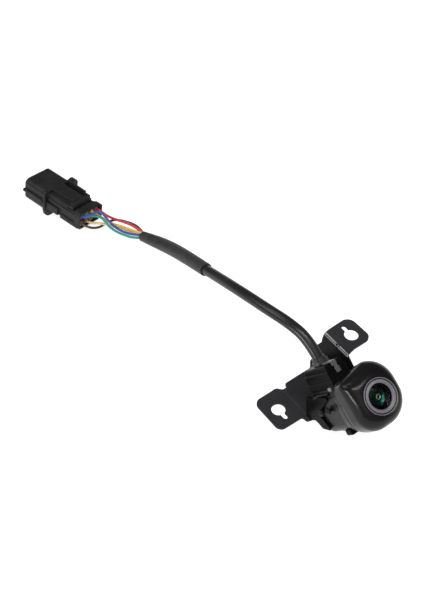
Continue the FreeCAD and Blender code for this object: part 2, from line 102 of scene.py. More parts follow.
class Nodes:
    """A material's node tree, with short ways to add and join nodes."""

    def __init__(self, name):
        self.material = bpy.data.materials.new(name)
        self.material.use_nodes = True
        self.tree = self.material.node_tree
        self.shader = self.tree.nodes["Principled BSDF"]
        self.place = self.tree.nodes.new("ShaderNodeTexCoord").outputs["Object"]

    def add(self, kind, **values):
        node = self.tree.nodes.new("ShaderNode" + kind)
        for key, value in values.items():
            if key in node.inputs:
                node.inputs[key].default_value = value
            else:
                setattr(node, key, value)
        return node

    def link(self, out, into):
        self.tree.links.new(out, into)

    def noise(self, scale, detail=3.0):
        node = self.add("TexNoise", Scale=scale, Detail=detail)
        self.link(self.place, node.inputs["Vector"])
        return node.outputs["Fac"]

    def spread(self, source, low, high):
        """The middle of a noise's range, spread from low to high."""
        node = self.add("MapRange", **{"From Min": 0.3, "From Max": 0.7,
                                       "To Min": low, "To Max": high})
        self.link(source, node.inputs["Value"])
        return node.outputs["Result"]

    def ramp(self, source, stops):
        node = self.add("ValToRGB")
        set_ramp(node, stops)
        self.link(source, node.inputs["Fac"])
        return node.outputs["Color"]

    def bump(self, source, height):
        """height in metres"""
        node = self.add("Bump", Strength=1.0, Distance=height)
        self.link(source, node.inputs["Height"])
        self.link(node.outputs["Normal"], self.shader.inputs["Normal"])


def surface(name, dark, light, rough, grain=1500.0, height=2e-5, drift=120.0, metallic=0.0,
            ior=1.5, tint=None):
    """Opaque finish: two close colours that drift, varied roughness and a fine grain.

    grain and drift are noise scales per metre, and height is the grain's, in metres.
    """
    nodes = Nodes(name)
    shader = nodes.shader
    broad = nodes.noise(drift, 4.0)
    fine = nodes.noise(grain, 2.0)
    nodes.link(nodes.ramp(broad, [(0.35, dark), (0.65, light)]), shader.inputs["Base Color"])
    nodes.link(nodes.spread(broad, rough * 0.88, rough * 1.12), shader.inputs["Roughness"])
    nodes.bump(fine, height)
    shader.inputs["Metallic"].default_value = metallic
    shader.inputs["IOR"].default_value = ior
    if tint:
        shader.inputs["Specular Tint"].default_value = (*tint, 1)
    return nodes.material


def glass(name, colour, rough=0.02, ior=1.5):
    nodes = Nodes(name)
    shader = nodes.shader
    shader.inputs["Base Color"].default_value = (*colour, 1)
    shader.inputs["Transmission Weight"].default_value = 1.0
    shader.inputs["IOR"].default_value = ior
    nodes.link(nodes.spread(nodes.noise(300.0), rough * 0.5, rough * 1.5),
               shader.inputs["Roughness"])
    return nodes.material


def grey(value, blue=1.0):
    return (value, value, value * blue)


COVER = surface("cover gloss black", grey(0.0075, 1.08), grey(0.010, 1.08), 0.20,
                grain=2500, height=3e-6, drift=60, ior=1.26)
CASE = surface("case satin black", grey(0.006, 1.05), grey(0.009, 1.05), 0.30,
               grain=2600, height=6e-6, ior=1.20)
# a darker, less reflective copy of the case black: painted shade, for the turret, the latch block
# and the bracket's walls and cheek
PAINTED_SHADE_BLACK = surface("case black with painted shade", grey(0.004, 1.05), grey(0.006, 1.05), 0.34,
                 grain=2600, height=6e-6, ior=1.09)
TRIM = surface("trim purple grey", (0.150, 0.140, 0.158), (0.180, 0.168, 0.190), 0.36,
               grain=1800, height=6e-6, drift=200)
TRIM_LIP = surface("trim lip", (0.150, 0.140, 0.158), (0.190, 0.178, 0.200), 0.22,
                   grain=1800, height=3e-6, drift=200)
BARREL = surface("barrel anodised", grey(0.002), grey(0.004), 0.45, ior=1.12)
IRIS = surface("iris olive", (0.16, 0.19, 0.10), (0.27, 0.29, 0.17), 0.40, metallic=0.3)
COATED = surface("coated inner lens", (0.0003, 0.0006, 0.0006), (0.0005, 0.0012, 0.001), 0.05,
                 grain=400, height=1e-6, ior=1.55, tint=(0.10, 1.0, 0.80))
FRONT_GLASS = glass("front glass", (0.94, 0.98, 0.97), 0.18, ior=1.12)
INNER_GLASS = glass("inner glass", (0.70, 0.92, 0.82), 0.03)
RUBBER = surface("rubber", grey(0.008), grey(0.014), 0.45, grain=2200, height=1.5e-5)
STEEL_BLACK = surface("bracket black coat", grey(0.031, 1.07), grey(0.038, 1.07), 0.32,
                      grain=1300, height=5e-6, drift=90, ior=1.09)
STEEL_GLOSS = surface("bracket bend gloss", grey(0.031, 1.07), grey(0.038, 1.07), 0.14,
                      grain=1300, height=3e-6, drift=90, ior=2.2)
SCREW = surface("screw black zinc", grey(0.008, 1.05), grey(0.012, 1.05), 0.30, ior=1.2)
TINNED = surface("tinned steel", grey(0.42, 1.02), grey(0.55, 1.02), 0.34, metallic=0.9,
                 grain=2600, height=5e-6)
CLIP = surface("clip steel", grey(0.085, 1.08), grey(0.125, 1.08), 0.34, metallic=0.2)
JACKET = surface("cable jacket", grey(0.013, 1.05), grey(0.018, 1.05), 0.26,
                 grain=1600, height=6e-6, drift=70, ior=1.36)
SLEEVE = surface("heat shrink", grey(0.020, 1.05), grey(0.032, 1.05), 0.50,
                 grain=600, height=1.6e-4, drift=160, ior=1.35)
PLASTIC = surface("plug plastic", grey(0.020, 1.05), grey(0.026, 1.05), 0.30,
                  grain=1900, height=9e-6, drift=150, ior=1.18)
SILICONE = surface("seal silicone", (0.16, 0.075, 0.05), (0.22, 0.10, 0.07), 0.5)
BOARD = surface("circuit board", (0.010, 0.085, 0.035), (0.018, 0.125, 0.055), 0.4)
CHIP = surface("chip", grey(0.012), grey(0.02), 0.4)
WIRE_COLOURS = {
    "blue": ((0.016, 0.050, 0.24), (0.026, 0.080, 0.34)),
    "green": ((0.006, 0.24, 0.19), (0.010, 0.32, 0.25)),
    "yellow": ((0.72, 0.42, 0.07), (0.80, 0.52, 0.11)),
    "red": ((0.50, 0.022, 0.035), (0.62, 0.035, 0.050)),
    "white": ((0.74, 0.55, 0.27), (0.84, 0.66, 0.38)),
    "brown": ((0.050, 0.028, 0.022), (0.085, 0.050, 0.040)),
}
INSULATION = {
    name: surface(f"insulation {name}", dark, light, 0.34, grain=2400, height=8e-6, drift=300)
    for name, (dark, light) in WIRE_COLOURS.items()
}

# ---------------------------------------------------------------- cords
# diameters in millimetres, drawn lengths in metres
CABLE_D = 5.6
SLEEVE_D = 7.0
WIRE_D = 1.4
CABLE_ROUTE = [(18.4, -3.5, 32.35), (18.4, 4.5, 37.75), (16.2, 15.0, 40.2), (13.8, 28.0, 39.2),
               (12.7, 44.0, 35.7), (12.6, 61.0, 30.0), (13.1, 76.5, 23.7)]
SLEEVE_ROUTE = [(13.1, 76.5, 23.7), (13.7, 92.2, 17.6), (14.0, 106.6, 11.7),
                (13.3, 119.9, 6.2), (10.4, 131.8, 2.9)]
SLEEVE_SWELL = [1.0, 1.05, 1.06, 1.04, 0.82]    # share of the diameter at each point
# from the sleeve to the plug: the blue and green wires cross over the other four half way
WIRES = {
    "blue": [(9.3, 132.3, 4.2), (6.3, 135.1, 4.0), (3.3, 138.0, 4.8), (0.2, 141.4, 7.0),
             (-1.8, 145.0, 9.8), (-2.4, 148.6, 12.2), (-3.3, 151.4, 14.0), (-5.8, 153.1, 14.4),
             (-8.8, 152.9, 13.6), (-11.7, 153.4, 13.1), (-13.5, 156.0, 12.9)],
    "green": [(8.9, 131.6, 2.6), (5.6, 134.6, 2.4), (2.8, 137.4, 3.4), (-0.6, 141.0, 5.4),
              (-3.0, 144.6, 8.0), (-3.6, 147.9, 10.4), (-4.6, 150.6, 11.7), (-6.7, 152.7, 12.1),
              (-8.9, 154.6, 12.0), (-9.6, 157.6, 12.0)],
    "yellow": [(11.0, 132.6, 4.4), (8.3, 136.4, 4.2), (6.2, 139.2, 5.2), (3.0, 142.9, 6.4),
               (0.1, 146.3, 6.9), (-1.8, 149.6, 8.0), (-3.6, 152.5, 10.0), (-5.1, 154.8, 11.3),
               (-5.8, 157.6, 11.3)],
    "red": [(12.2, 132.4, 3.0), (10.4, 136.4, 4.6), (8.6, 139.4, 6.4), (6.0, 142.1, 7.8),
            (3.4, 145.2, 8.7), (1.0, 148.6, 9.3), (-0.5, 152.3, 9.8), (-1.5, 155.6, 10.5),
            (-2.2, 158.5, 10.5)],
    "white": [(11.0, 131.9, 1.6), (8.6, 135.6, 2.2), (5.6, 140.0, 3.0), (2.4, 143.8, 4.2),
              (-0.6, 147.1, 5.0), (-3.2, 149.6, 6.3), (-6.2, 151.2, 7.1), (-8.9, 153.2, 7.2),
              (-10.4, 156.6, 7.1)],
    "brown": [(12.3, 132.6, 1.5), (12.4, 137.6, 3.6), (9.7, 141.3, 5.6), (6.6, 144.6, 6.7),
              (3.4, 147.8, 7.1), (0.6, 149.7, 6.0), (-2.6, 150.5, 4.6), (-6.6, 150.6, 4.3),
              (-11.6, 151.8, 6.2), (-14.0, 155.7, 7.9)],
}


def cord_curve(name, route, diameter, material, swell=None):
    """A round cord on one smooth spline through the route's points."""
    data = bpy.data.curves.new(name, "CURVE")
    data.dimensions = "3D"
    data.bevel_depth = diameter / 2 * MM
    data.bevel_resolution = 8
    data.resolution_u = 24
    data.use_fill_caps = True
    spline = data.splines.new("NURBS")
    spline.points.add(len(route) - 1)
    for i, (point, place) in enumerate(zip(spline.points, route)):
        point.co = (*(Vector(place) * MM), 1)
        point.radius = swell[i] if swell else 1.0
    spline.order_u = 3
    spline.use_endpoint_u = True
    data.materials.append(material)
    cord = bpy.data.objects.new(name, data)
    bpy.context.scene.collection.objects.link(cord)
    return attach(cord, "camera")


cable = cord_curve("cable_cord", CABLE_ROUTE, CABLE_D, JACKET)
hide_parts("cable")
sleeve = cord_curve("shrink_sleeve_tube", SLEEVE_ROUTE, SLEEVE_D, SLEEVE, SLEEVE_SWELL)
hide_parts("shrink_sleeve")
for colour, route in WIRES.items():
    wire = cord_curve(f"wire_{colour}_cord", route, WIRE_D, INSULATION[colour])
    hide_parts(f"wire_{colour}")


# ---------------------------------------------------------------- mesh tools
SHARP = math.radians(35)        # edges that turn by more than this are bevelled
CREASE = math.radians(48)       # and those left that turn by more than this are shaded sharp


def rounded(points, step=15.0):
    """Closed outline through (x, y, corner radius) points; corners are arcs, step in degrees."""
    outline = []
    count = len(points)
    for i, (x, y, radius) in enumerate(points):
        here = Vector((x, y))
        before = (Vector(points[i - 1][:2]) - here).normalized()
        after = (Vector(points[(i + 1) % count][:2]) - here).normalized()
        if radius <= 0:
            outline.append(here)
            continue
        half = before.angle(after) / 2
        centre = here + (before + after).normalized() * (radius / math.sin(half))
        start = here + before * (radius / math.tan(half)) - centre
        end = here + after * (radius / math.tan(half)) - centre
        first = math.atan2(start.y, start.x)
        turn = (math.atan2(end.y, end.x) - first + math.pi) % (2 * math.pi) - math.pi
        parts = max(2, math.ceil(abs(turn) / math.radians(step)))
        for k in range(parts + 1):
            angle = first + turn * k / parts
            outline.append(centre + Vector((math.cos(angle), math.sin(angle))) * radius)
    return outline


def rectangle(left, right, bottom, top, radius):
    """Outline for rounded(), all four corners alike."""
    return [(left, bottom, radius), (right, bottom, radius),
            (right, top, radius), (left, top, radius)]


def soften(bm, width, segments=3):
    """Rounds every sharp edge."""
    bmesh.ops.recalc_face_normals(bm, faces=bm.faces)
    if width > 0:
        edges = [e for e in bm.edges if len(e.link_faces) == 2 and e.calc_face_angle() > SHARP]
        bmesh.ops.bevel(bm, geom=edges, offset=width, offset_type="OFFSET", affect="EDGES",
                        segments=segments, profile=0.5, clamp_overlap=True)


def prism(outline, low, high, bevel=0.25, matrix=Matrix(), segments=3):
    """A rounded outline in xy, raised from low to high, edges softened."""
    bm = bmesh.new()
    points = rounded(outline)
    bottom = [bm.verts.new((p.x, p.y, low)) for p in points]
    top = [bm.verts.new((p.x, p.y, high)) for p in points]
    bm.faces.new(list(reversed(bottom)))
    bm.faces.new(top)
    for i, vert in enumerate(bottom):
        j = (i + 1) % len(bottom)
        bm.faces.new((vert, bottom[j], top[j], top[i]))
    bmesh.ops.remove_doubles(bm, verts=bm.verts, dist=1e-5)
    soften(bm, bevel, segments)
    bm.transform(matrix)
    return bm


def slab(left, right, front, back, bottom, top, radius, bevel=0.25):
    """A block in the plug frame; front and back are distances from the mating face."""
    return prism(rectangle(left, right, bottom, top, radius), front, back, bevel, LENGTHWISE)


def lathe(profile, bevel=0.0, steps=64, matrix=Matrix()):
    """A closed (radius, z) profile turned about z."""
    bm = bmesh.new()
    rows = []
    for radius, z in profile:
        if radius < 1e-6:
            rows.append([bm.verts.new((0, 0, z))])
            continue
        rows.append([bm.verts.new((radius * math.cos(a), radius * math.sin(a), z))
                     for a in (2 * math.pi * k / steps for k in range(steps))])
    for i, low in enumerate(rows):
        high = rows[(i + 1) % len(rows)]
        if len(low) == 1 and len(high) == 1:
            continue
        for k in range(steps):
            j = (k + 1) % steps
            corners = (low[k % len(low)], low[j % len(low)],
                       high[j % len(high)], high[k % len(high)])
            bm.faces.new(list(dict.fromkeys(corners)))
    soften(bm, bevel)
    bm.transform(matrix)
    return bm


def merge(chunks):
    """One bmesh from several."""
    total = bmesh.new()
    for chunk in chunks:
        mesh = bpy.data.meshes.new("chunk")
        chunk.to_mesh(mesh)
        chunk.free()
        total.from_mesh(mesh)
        bpy.data.meshes.remove(mesh)
    return total


def loose_object(bm, name="work"):
    mesh = bpy.data.meshes.new(name)
    bm.to_mesh(mesh)
    bm.free()
    made = bpy.data.objects.new(name, mesh)
    bpy.context.scene.collection.objects.link(made)
    return made


def evaluated(made):
    """The object's mesh with its modifiers applied, as a bmesh; the object is removed."""
    bpy.context.view_layer.update()
    graph = bpy.context.evaluated_depsgraph_get()
    bm = bmesh.new()
    bm.from_mesh(made.evaluated_get(graph).to_mesh())
    bpy.data.objects.remove(made)
    return bm


def boolean(body, tool, operation="DIFFERENCE"):
    target = loose_object(body)
    other = loose_object(tool)
    modifier = target.modifiers.new("cut", "BOOLEAN")
    modifier.operation = operation
    modifier.solver = "EXACT"
    modifier.object = other
    result = evaluated(target)
    bpy.data.objects.remove(other)
    return result


def weld(chunks):
    """Several closed shapes as one skin."""
    whole = chunks[0]
    for chunk in chunks[1:]:
        whole = boolean(whole, chunk, "UNION")
    return whole


def piece(name, bm, matrix, material, replaces=(), body="camera"):
    """A finished mesh piece: set down in metres, smooth shaded, riding on its body."""
    bm.transform(matrix)
    bmesh.ops.recalc_face_normals(bm, faces=bm.faces)
    made = loose_object(bm, name)
    made.data.shade_smooth()
    made.data.set_sharp_from_angle(angle=CREASE)
    weighted = made.modifiers.new("normals", "WEIGHTED_NORMAL")
    weighted.keep_sharp = True
    made.data.materials.append(material)
    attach(made, body)
    if replaces:
        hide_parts(*replaces)
    return made


# ---------------------------------------------------------------- front cover
COVER_LEFT = -13.2
COVER_RIGHT = 13.4
COVER_PEAK = (3.0, 16.7)        # highest point of the top edge
COVER_SHOULDERS = (13.3, 13.2)  # heights of the upper corners, left and right
TOP_DRAFT = 1.0                 # the top slopes down by this, from the shoulder to the back
COVER_BOTTOM = -14.0
COVER_BACK = -12.5
COVER_SHOULDER = -6.8           # where the rounding of the front begins
COVER_WALL = 1.5
COVER_EDGE = 0.15               # chamfer of the back edge
COVER_SIDE_DRAFT = 0.2          # the sides close in by this towards the shoulder
FACE_POWER = 1.8                # of the superellipse from the shoulder to the lens
RING_SEAT = 8.5                 # radius where the cover meets the lens trim


def cover_outline(inset=0.0, forward=0.0):
    """Seen along the lens axis; forward is 0 at the back, 1 at the shoulder, less behind."""
    left = COVER_LEFT + inset
    right = COVER_RIGHT - inset
    fall = inset + TOP_DRAFT * (1 - forward)
    bottom = COVER_BOTTOM + inset
    return [(left, bottom, 10.0 - inset), (right, bottom, 12.9 - inset),
            (right, COVER_SHOULDERS[1] - fall, 4.1 + 8.0 * max(forward, 0) - inset),
            (COVER_PEAK[0], COVER_PEAK[1] - fall, 5.0),
            (left, COVER_SHOULDERS[0] - fall, 3.6 - inset)]


def reach(outline, angle):
    """Distance from the centre to a closed outline, along a direction."""
    ray = Vector((math.cos(angle), math.sin(angle)))
    best = 0.0
    for i, start in enumerate(outline):
        side = outline[(i + 1) % len(outline)] - start
        bend = ray.x * side.y - ray.y * side.x
        if abs(bend) < 1e-9:
            continue
        share = (start.y * ray.x - start.x * ray.y) / -bend
        along = (start.x * side.y - start.y * side.x) / bend
        if -1e-6 <= share <= 1 + 1e-6 and along > 0:
            best = max(best, along)
    return best


def polar_skin(sections, steps=180):
    """Closed skin through sections; each gives (radius, z) for a direction."""
    bm = bmesh.new()
    rows = []
    for section in sections:
        row = []
        for k in range(steps):
            angle = 2 * math.pi * k / steps
            radius, z = section(angle)
            row.append(bm.verts.new((radius * math.cos(angle), radius * math.sin(angle), z)))
        rows.append(row)
    for i, low in enumerate(rows):
        high = rows[(i + 1) % len(rows)]
        for k in range(steps):
            j = (k + 1) % steps
            bm.faces.new((low[k], low[j], high[j], high[k]))
    return bm


def front_cover():
    back = rounded(cover_outline(), 4)
    front = rounded(cover_outline(0.0, 1.0), 4)
    inner = rounded(cover_outline(COVER_WALL), 6)

    def shoulder(angle):
        return reach(front, angle) - COVER_SIDE_DRAFT

    def side(z, inset=0.0):
        share = (z - COVER_BACK) / (COVER_SHOULDER - COVER_BACK)

        def section(angle):
            return reach(back, angle) * (1 - share) + shoulder(angle) * share - inset, z
        return section

    def face(share):
        """share 0 at the shoulder, 1 at the lens trim"""
        turn = share * math.pi / 2
        across = math.cos(turn) ** (2 / FACE_POWER)
        up = math.sin(turn) ** (2 / FACE_POWER)

        def section(angle):
            return RING_SEAT + (shoulder(angle) - RING_SEAT) * across, COVER_SHOULDER * (1 - up)
        return section

    sections = [side(COVER_BACK, COVER_EDGE), side(COVER_BACK + COVER_EDGE)]
    sections += [side(z) for z in (-11.2, -10.0, -8.9, -7.8)]
    sections += [face(k / 20) for k in range(20)]
    sections += [
        lambda angle: (RING_SEAT, 0.0),
        lambda angle: (RING_SEAT - 0.05, -0.25),
        lambda angle: (RING_SEAT - 0.05, -4.4),
        lambda angle: (reach(inner, angle) - 0.6, -6.4),
        lambda angle: (reach(inner, angle), COVER_BACK),
    ]
    return polar_skin(sections, 240)


piece("front_cover_shell", front_cover(), HEAD, COVER, ["front_cover"])


# ---------------------------------------------------------------- lens
APERTURE = 5.94                 # radius of the trim ring's opening, filled by the front glass
BAFFLE_MOUTH = 3.95
GROOVE_R = 7.50                 # the trim's face ends here, and its groove runs out to the lip


def lens_lip():
    """Thin bright lip round the groove."""
    return lathe([(8.40, 0.30), (8.22, 0.42), (8.02, 0.30), (7.98, -0.5), (8.42, -0.5)], 0.05, 128)


def lens_groove():
    """Dark floor of the groove, and the ring's hidden barrel below it."""
    return lathe([(8.0, -0.30), (GROOVE_R - 0.1, -0.30), (GROOVE_R - 0.1, -4.0), (8.40, -4.0),
                  (8.40, -0.45), (8.0, -0.45)], 0.0, 96)


def lens_face():
    """Sloped grey ring between the groove and the glass."""
    return lathe([(GROOVE_R, 0.18), (GROOVE_R - 0.12, 0.28), (APERTURE + 0.08, -0.02),
                  (APERTURE, -0.15), (APERTURE, -1.5), (GROOVE_R, -1.5)], 0.05, 128)


def dome(radius, crown, base, thickness, steps=14):
    """Lens profile: a spherical cap of the given crown height on a short edge."""
    sphere = (radius ** 2 + crown ** 2) / (2 * crown)
    profile = [(0.0, base + crown)]
    for k in range(1, steps + 1):
        r = radius * k / steps
        profile.append((r, base + crown - sphere + math.sqrt(sphere ** 2 - r ** 2)))
    profile.append((radius, base - thickness))
    profile.append((0.0, base - thickness))
    return profile


piece("lens_trim_face", lens_face(), HEAD, TRIM, ["lens_trim_ring"])
piece("lens_trim_lip", lens_lip(), HEAD, TRIM_LIP)
piece("lens_trim_groove", lens_groove(), HEAD, BARREL)
front_glass = lathe(dome(APERTURE - 0.01, 0.9, -0.75, 0.8), 0, 96)
piece("front_lens_glass", front_glass, HEAD, FRONT_GLASS, ["front_lens"])
baffle = lathe([(APERTURE, -1.5), (5.60, -2.0), (4.10, -2.9), (BAFFLE_MOUTH, -3.1),
                (BAFFLE_MOUTH, -5.0), (7.2, -5.0), (7.2, -1.5)], 0.05, 96)
piece("lens_baffle", baffle, HEAD, BARREL)
coated_lens = lathe(dome(BAFFLE_MOUTH - 0.05, 0.48, -2.88, 1.0), 0, 96)
piece("coated_lens", coated_lens, HEAD, COATED)
iris = lathe([(1.25, -2.34), (1.02, -2.28), (0.80, -2.34), (0.80, -2.6), (1.25, -2.6)], 0.04, 64)
piece("lens_iris", iris, HEAD, IRIS)

# ---------------------------------------------------------------- rear case
CASE_HALF = 12.3
CASE_BACK = -38.0
CASE_TOP = 12.4
LEDGE = 1.6                     # the case steps in by this above its ledge
COLLAR_GAP = 0.12               # between the cover and the case, all round
COLLAR_FRONT = COVER_BACK - COLLAR_GAP
GLAND_PLACE = (-3.6, 0, -28.0)  # foot of the axis that the gland is turned about


def case_outline():
    low = CASE_HALF
    high = CASE_HALF - LEDGE
    return [(-low, -10.0, 5.0), (low, -10.0, 5.0), (low, 9.0, 0.4), (high, 9.6, 0.4),
            (high, CASE_TOP, 1.8), (-high, CASE_TOP, 1.8), (-high, 9.6, 0.4), (-low, 9.0, 0.4)]


def rear_case():
    """Collar behind the cover, drawn in to a boxy trunk with two ribs on its left."""
    rim = rounded(cover_outline(COLLAR_GAP), 4)
    tail = rounded(cover_outline(COLLAR_GAP, -0.8), 4)
    collar = polar_skin([
        lambda angle: (reach(rim, angle) - 1.0, COLLAR_FRONT),
        lambda angle: (reach(rim, angle) - 0.15, COLLAR_FRONT - 0.04),
        lambda angle: (reach(rim, angle), COLLAR_FRONT - 0.23),
        lambda angle: ((reach(rim, angle) + reach(tail, angle)) / 2 - 0.1, -15.0),
        lambda angle: (reach(tail, angle) - 0.9, -19.5),
        lambda angle: (reach(tail, angle) - 2.5, -19.9),
        lambda angle: (3.0, -20.0),
        lambda angle: (3.0, COLLAR_FRONT),
    ])
    trunk = prism(case_outline(), CASE_BACK, -16.0, 0.5)
    ribs = [prism(rectangle(-CASE_HALF - 0.25, -10.0, y, y + 0.8, 0.2), -33.0, -20.5, 0.15)
            for y in (7.6, 9.6)]
    return merge([collar, trunk] + ribs)


def turret():
    """Stepped housing that the cable leaves through, and the latch block under the case."""
    return merge([
        prism(rectangle(-10.5, 0.2, 10.0, 15.35, 0.8), CASE_BACK, -14.0, 0.3),
        prism(rectangle(-10.3, 0.0, 14.8, 19.9, 0.9), CASE_BACK + 0.3, -14.3, 0.35),
        prism(rectangle(-9.8, -0.5, 19.4, 22.4, 1.0), CASE_BACK + 0.8, -14.8, 0.4),
        prism(rectangle(-11.6, -6.6, -11.7, -8.7, 0.8), -24.8, -19.8, 0.4),
    ])


piece("rear_case_shell", rear_case(), HEAD, CASE, ["rear_case"])
# the turret and the latch block are case plastic, given the painted-shade black
piece("rear_case_turret", turret(), HEAD, PAINTED_SHADE_BLACK)
# small bright catch behind the cover's upper left corner
lug = prism(rectangle(-13.5, -11.8, 11.3, 13.1, 0.7), -16.0, -13.1, 0.45)
piece("rear_case_lug", lug, HEAD, STEEL_GLOSS)
GLAND = HEAD @ Matrix.Translation(GLAND_PLACE) @ Matrix.Rotation(math.radians(-90), 4, "X")
gland = lathe([(3.9, 22.4), (3.9, 24.2), (3.4, 24.4), (3.4, 24.9), (3.15, 25.0), (3.15, 25.3),
               (3.3, 25.4), (3.3, 25.8), (2.5, 25.8), (2.5, 22.0), (3.0, 22.0)], 0.12, 64)
piece("cable_gland_boot", gland, GLAND, RUBBER, ["cable_gland"])
vent = lathe([(0, -39.5), (2.5, -39.5), (2.8, -39.1), (2.8, -38.5), (1.6, -38.4), (1.6, -37.9),
              (0, -37.9)], 0.12, 48, Matrix.Translation((5, 2, 0)))
piece("vent_plug_cap", vent, HEAD, RUBBER, ["vent_plug"])

# ---------------------------------------------------------------- bracket
SHEET = 1.2
WALL_MID = 35.0                 # middle of the right wall's sheet
EAR_MID = 24.6
FOOT_BEND = 1.6                 # bend radii at the middle of the sheet
EAR_BEND = 1.15
FOOT_START = WALL_MID - FOOT_BEND
FOOT_END = FOOT_START + FOOT_BEND * math.pi / 2
JOGGLE = (8.0, 9.4, 0.35)       # from, to and rise of the step beside the left ear
EAR_STEP = (36.2, 37.7, 0.40)   # the same beside the right ear, along x
GUSSET = (-0.9, 1.5, 0.55)      # pressed into the right bend: from, to along y, and depth
GUSSET_RAMP = 0.6               # it fades in and out over this
WALL_TOP = EAR_MID - EAR_STEP[2] - EAR_BEND     # height where the right bend begins
WALL_LENGTH = WALL_TOP - SHEET / 2 - FOOT_BEND
EAR_START = FOOT_END + WALL_LENGTH
EAR_FLAT = EAR_START + EAR_BEND * math.pi / 2
EAR_REACH = 7.1
EAR_HALF = 10.0
KEYHOLE_R = 3.5
SLOT_HALF = 1.2
SLOT_REACH = 6.6
CHEEK_PLACE = 8.4               # inner face of the left cheek, along x
SHEET_EDGE = 0.16               # rounding of the sheet's edges
COAT, BEND, SHADED = range(3)   # the bracket's material slots: ears and foot, bend, walls; the walls and the cheek get a darker black that is painted shade


def up_wall(z):
    """Distance on the flat blank for a height on the right wall."""
    if z < SHEET / 2 + FOOT_BEND:
        return FOOT_START + (FOOT_END - FOOT_START) * z / (SHEET / 2 + FOOT_BEND)
    return FOOT_END + z - SHEET / 2 - FOOT_BEND


def along_ear(x):
    """Distance on the flat blank for a place on the right ear."""
    return EAR_FLAT + x - WALL_MID - EAR_BEND


def fold(u, y, height):
    """Blank point to the bent sheet; height is off the sheet's middle, towards its top."""
    if u <= FOOT_START:
        start, end, rise = JOGGLE
        lift = rise * smooth(u, start, end)
        return Vector((u, y, SHEET / 2 + lift + height))
    if u <= FOOT_END:
        angle = (u - FOOT_START) / FOOT_BEND
        radius = FOOT_BEND - height
        return Vector((FOOT_START + radius * math.sin(angle), y,
                       SHEET / 2 + JOGGLE[2] * math.cos(angle) + FOOT_BEND
                       - radius * math.cos(angle)))
    if u <= EAR_START:
        return Vector((WALL_MID - height, y, SHEET / 2 + FOOT_BEND + u - FOOT_END))
    dent = gusset_depth(y)
    if u <= EAR_FLAT:
        angle = (u - EAR_START) / EAR_BEND
        radius = EAR_BEND + height - dent * math.sin(2 * angle)
        return Vector((WALL_MID + EAR_BEND - radius * math.cos(angle), y,
                       WALL_TOP + radius * math.sin(angle)))
    x = WALL_MID + EAR_BEND + u - EAR_FLAT
    start, end, rise = EAR_STEP
    return Vector((x, y, EAR_MID - rise * (1 - smooth(x, start, end)) + height))


def smooth(value, start, end):
    """0 before the start, 1 past the end, eased between."""
    share = min(max((value - start) / (end - start), 0), 1)
    return share * share * (3 - 2 * share)


def gusset_depth(y):
    start, end, depth = GUSSET
    fade_in = smooth(y, start, start + GUSSET_RAMP)
    fade_out = 1 - smooth(y, end - GUSSET_RAMP, end)
    return depth * fade_in * fade_out


def arc(x, y, radius, start, turn, parts):
    """Points along an arc, ends included."""
    angles = [start + turn * k / parts for k in range(parts + 1)]
    return [Vector((x + radius * math.cos(a), y + radius * math.sin(a))) for a in angles]


def keyhole(x, y, toward):
    """Round hole with a slot on one side, as one outline; toward is the slot's sign along y."""
    neck = math.asin(SLOT_HALF / KEYHOLE_R)
    slot = math.pi / 2 * toward
    slot_end = y + toward * (SLOT_REACH - SLOT_HALF)
    hole = arc(x, y, KEYHOLE_R, slot + neck, 2 * math.pi - 2 * neck, 32)
    return hole + arc(x, slot_end, SLOT_HALF, slot - math.pi / 2, math.pi, 8)


# flat outline of the bracket: x along the blank, y, corner radius
BLANK = [
    (-EAR_REACH, -EAR_HALF, 3.6), (6.4, -EAR_HALF - 0.3, 1.0), (6.9, -13.2, 0.6),
    (10.6, -14.6, 0.8), (11.0, -21.6, 1.6), (19.5, -29.0, 2.0), (30.0, -29.0, 2.0),
    (33.2, -22.0, 1.5), (up_wall(0), -16.0, 0.3), (up_wall(4.6), -22.7, 1.0),
    (up_wall(8.6), -27.2, 0.5), (up_wall(10.5), -26.6, 1.0), (up_wall(17.5), -14.0, 3.0),
    (up_wall(21.6), -9.2, 3.0), (EAR_START + 0.6, -7.0, 0.8), (along_ear(40.0), -6.2, 6.0),
    (along_ear(50.8), -6.2, 3.4), (along_ear(50.4), 10.1, 4.6), (EAR_START + 1.0, 9.7, 0.8),
    (up_wall(18.5), 10.5, 1.0), (up_wall(16.5), 10.5, 1.0), (up_wall(11.5), 13.2, 1.5),
    (31.0, 13.2, 1.5), (28.0, 9.6, 1.5), (11.8, 9.6, 1.2), (11.2, 7.4, 0.8), (9.0, 7.4, 0.8),
    (6.8, EAR_HALF + 0.2, 2.4), (-EAR_REACH, EAR_HALF + 0.2, 3.6),
]


def blank_mesh(outer, holes):
    """Flat triangles that fill an outline round its holes."""
    points = []
    edges = []
    for loop in [outer] + holes:
        first = len(points)
        points += loop
        edges += [(first + i, first + (i + 1) % len(loop)) for i in range(len(loop))]
    verts, _, faces, *_ = delaunay_2d_cdt(points, edges, [], 1, 1e-5)
    bm = bmesh.new()
    made = [bm.verts.new((v.x, v.y, 0)) for v in verts]
    for face in faces:
        centre = sum((verts[i] for i in face), Vector((0, 0))) / len(face)
        if not any(inside(centre, hole) for hole in holes):
            bm.faces.new([made[i] for i in face])
    loose = [v for v in bm.verts if not v.link_faces]
    bmesh.ops.delete(bm, geom=loose, context="VERTS")
    return bm


def inside(point, outline):
    """Whether a point lies in a closed outline."""
    result = False
    for i, a in enumerate(outline):
        b = outline[i - 1]
        if (a.y > point.y) != (b.y > point.y):
            if point.x < (b.x - a.x) * (point.y - a.y) / (b.y - a.y) + a.x:
                result = not result
    return result


def spaced(start, end, parts):
    """Evenly spaced values, both ends included."""
    return [start + (end - start) * k / parts for k in range(parts + 1)]


